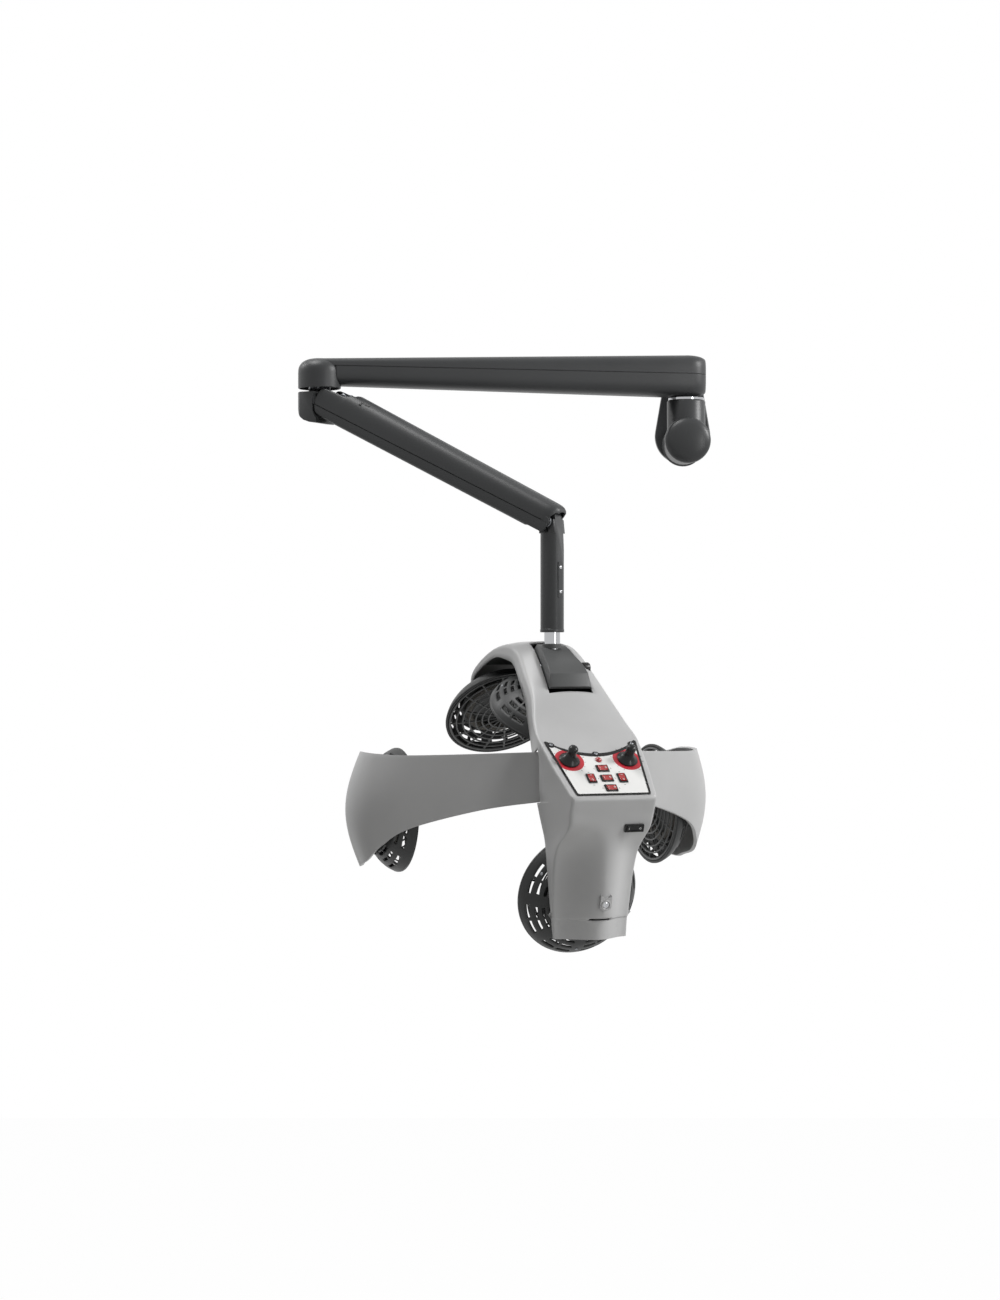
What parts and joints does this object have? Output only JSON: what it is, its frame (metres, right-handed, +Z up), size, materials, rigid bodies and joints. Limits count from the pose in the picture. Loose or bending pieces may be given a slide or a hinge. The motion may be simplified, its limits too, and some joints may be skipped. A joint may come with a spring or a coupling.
{
  "type": "hair color processor",
  "caption": "Wall-mounted infrared hair color processor: jointed arm with levelled stem, tilting arched hood, hinged wings, round vented lamps and a sloped dial panel.",
  "frame": {"origin": "On the back face of the wall plate, at the centre of its round lower end.", "axes": "+Z up, +Y into the wall, +X to the right when facing the wall."},
  "size_m": [0.6211, 0.6004, 0.8628],
  "materials": {
    "charcoal_enamel": "satin enamel",
    "charcoal_plastic": "satin moulded",
    "shoe_plastic": "satin moulded",
    "grey_plastic": "satin moulded",
    "black_plastic": "fine grained",
    "black_wire": "satin enamel",
    "gloss_black": "polished",
    "red_plastic": "polished",
    "white_panel": "smooth",
    "chrome": "polished",
    "steel": "plain",
    "quartz": "frosted"
  },
  "bodies": {
    "wall_mounting": {"wall_plate": "charcoal_enamel", "wall_bracket": "charcoal_enamel", "bracket_cap": "charcoal_enamel", "shoulder_pin": "steel", "shoulder_washer": "chrome"},
    "upper_arm": {"upper_arm_cover_top": "charcoal_plastic", "upper_arm_cover_bottom": "charcoal_plastic", "upper_arm_bar": "steel", "elbow_pin": "steel"},
    "elbow": {"elbow_knuckle": "charcoal_enamel"},
    "lower_arm": {"lower_arm_cover_top": "charcoal_plastic", "lower_arm_cover_bottom": "charcoal_plastic", "lower_arm_channel": "steel", "balance_spring": "steel", "tilt_pin": "steel", "stem_pin": "steel"},
    "levelling_link": {"levelling_rod": "steel"},
    "stem_body": {"stem": "charcoal_enamel"},
    "swivel": {"post": "chrome", "tilt_shoe": "shoe_plastic"},
    "hood": {"hood_body": "grey_plastic", "arch_liner": "black_plastic", "tilt_axle": "steel", "control_box": "steel", "panel_border": "gloss_black", "control_panel": "white_panel", "switch_bank": "gloss_black", "pilot_lens": "red_plastic", "main_switch_body": "gloss_black", "left_wing_pin": "steel", "right_wing_pin": "steel", "nape_lamp_shell": "black_plastic", "nape_lamp_grille": "black_wire", "nape_lamp_emitter": "quartz", "top_lamp_shell": "black_plastic", "top_lamp_grille": "black_wire", "top_lamp_emitter": "quartz", "forehead_lamp_shell": "black_plastic", "forehead_lamp_grille": "black_wire", "forehead_lamp_emitter": "quartz"},
    "left_wing_body": {"left_wing": "grey_plastic", "left_lamp_shell": "black_plastic", "left_lamp_grille": "black_wire", "left_lamp_emitter": "quartz"},
    "right_wing_body": {"right_wing": "grey_plastic", "right_lamp_shell": "black_plastic", "right_lamp_grille": "black_wire", "right_lamp_emitter": "quartz"},
    "tilt_lock": {"tilt_knob": "gloss_black"},
    "timer_dial": {"timer_knob": "gloss_black"},
    "power_dial": {"power_knob": "gloss_black"},
    "timer_range_switch": {"timer_range_rocker": "red_plastic"},
    "left_lamp_switch": {"left_lamp_rocker": "red_plastic"},
    "top_lamp_switch": {"top_lamp_rocker": "red_plastic"},
    "right_lamp_switch": {"right_lamp_rocker": "red_plastic"},
    "nape_lamp_switch": {"nape_lamp_rocker": "red_plastic"},
    "main_switch": {"main_switch_rocker": "gloss_black"}
  },
  "joints": [
    {"name": "shoulder_swing", "type": "hinge", "parent": "wall_mounting", "child": "upper_arm", "pos_m": [0, -0.085, 0], "axis": [0, 0, 1], "range_deg": [-10, 80]},
    {"name": "elbow_swing", "type": "hinge", "parent": "upper_arm", "child": "elbow", "pos_m": [-0.54704, -0.20477, 0.048], "axis": [0, 0, 1], "range_deg": [-110, 10]},
    {"name": "arm_tilt", "type": "hinge", "parent": "elbow", "child": "lower_arm", "pos_m": [-0.53461, -0.21122, 0.025], "axis": [-0.4602, -0.8878, 0], "range_deg": [-18, 13]},
    {"name": "rod_swing", "type": "hinge", "parent": "elbow", "child": "levelling_link", "pos_m": [-0.53461, -0.21122, 0.039], "axis": [-0.4602, -0.8878, 0], "range_deg": [-18, 13]},
    {"name": "stem_level", "type": "hinge", "parent": "lower_arm", "child": "stem_body", "pos_m": [-0.20898, -0.38001, -0.15073], "axis": [-0.4602, -0.8878, 0], "range_deg": [-13, 18]},
    {"name": "hood_turn", "type": "hinge", "parent": "stem_body", "child": "swivel", "pos_m": [-0.20898, -0.38001, -0.32223], "axis": [0, 0, 1], "range_deg": [-150, 150]},
    {"name": "hood_tilt", "type": "hinge", "parent": "swivel", "child": "hood", "pos_m": [-0.20149, -0.39855, -0.35523], "axis": [-0.9272, -0.3746, 0], "range_deg": [-4, 12]},
    {"name": "left_wing_swing", "type": "hinge", "parent": "hood", "child": "left_wing_body", "pos_m": [-0.21431, -0.50296, -0.50223], "axis": [0, 0, 1], "range_deg": [-5, 12]},
    {"name": "right_wing_swing", "type": "hinge", "parent": "hood", "child": "right_wing_body", "pos_m": [-0.11974, -0.46475, -0.50223], "axis": [0, 0, -1], "range_deg": [-5, 12]},
    {"name": "tilt_lock_turn", "type": "hinge", "parent": "hood", "child": "tilt_lock", "pos_m": [-0.15977, -0.38169, -0.35523], "axis": [0.9272, 0.3746, 0], "range_deg": [0, 120]},
    {"name": "timer_turn", "type": "hinge", "parent": "hood", "child": "timer_dial", "pos_m": [-0.18933, -0.5421, -0.47821], "axis": [-0.2438, 0.6034, -0.7593], "range_deg": [0, 270]},
    {"name": "power_turn", "type": "hinge", "parent": "hood", "child": "power_dial", "pos_m": [-0.11052, -0.51026, -0.47821], "axis": [-0.2438, 0.6034, -0.7593], "range_deg": [0, 270]},
    {"name": "timer_range_rock", "type": "hinge", "parent": "hood", "child": "timer_range_switch", "pos_m": [-0.14509, -0.53815, -0.48927], "axis": [-0.2844, 0.704, 0.6508], "range_deg": [-5, 5]},
    {"name": "left_lamp_rock", "type": "hinge", "parent": "hood", "child": "left_lamp_switch", "pos_m": [-0.16055, -0.55995, -0.50164], "axis": [0.9272, 0.3746, 0], "range_deg": [-5, 5]},
    {"name": "top_lamp_rock", "type": "hinge", "parent": "hood", "child": "top_lamp_switch", "pos_m": [-0.13969, -0.55152, -0.50164], "axis": [-0.2844, 0.704, 0.6508], "range_deg": [-5, 5]},
    {"name": "right_lamp_rock", "type": "hinge", "parent": "hood", "child": "right_lamp_switch", "pos_m": [-0.11882, -0.54309, -0.50164], "axis": [0.9272, 0.3746, 0], "range_deg": [-5, 5]},
    {"name": "nape_lamp_rock", "type": "hinge", "parent": "hood", "child": "nape_lamp_switch", "pos_m": [-0.13428, -0.5649, -0.514], "axis": [-0.2844, 0.704, 0.6508], "range_deg": [-5, 5]},
    {"name": "main_rock", "type": "hinge", "parent": "hood", "child": "main_switch", "pos_m": [-0.10319, -0.55189, -0.56723], "axis": [0.1033, -0.2556, 0.9613], "range_deg": [-4, 4]}
  ],
  "couplings": [
    {"joint": "rod_swing", "follows": "arm_tilt", "ratio": 1},
    {"joint": "stem_level", "follows": "arm_tilt", "ratio": -1}
  ]
}
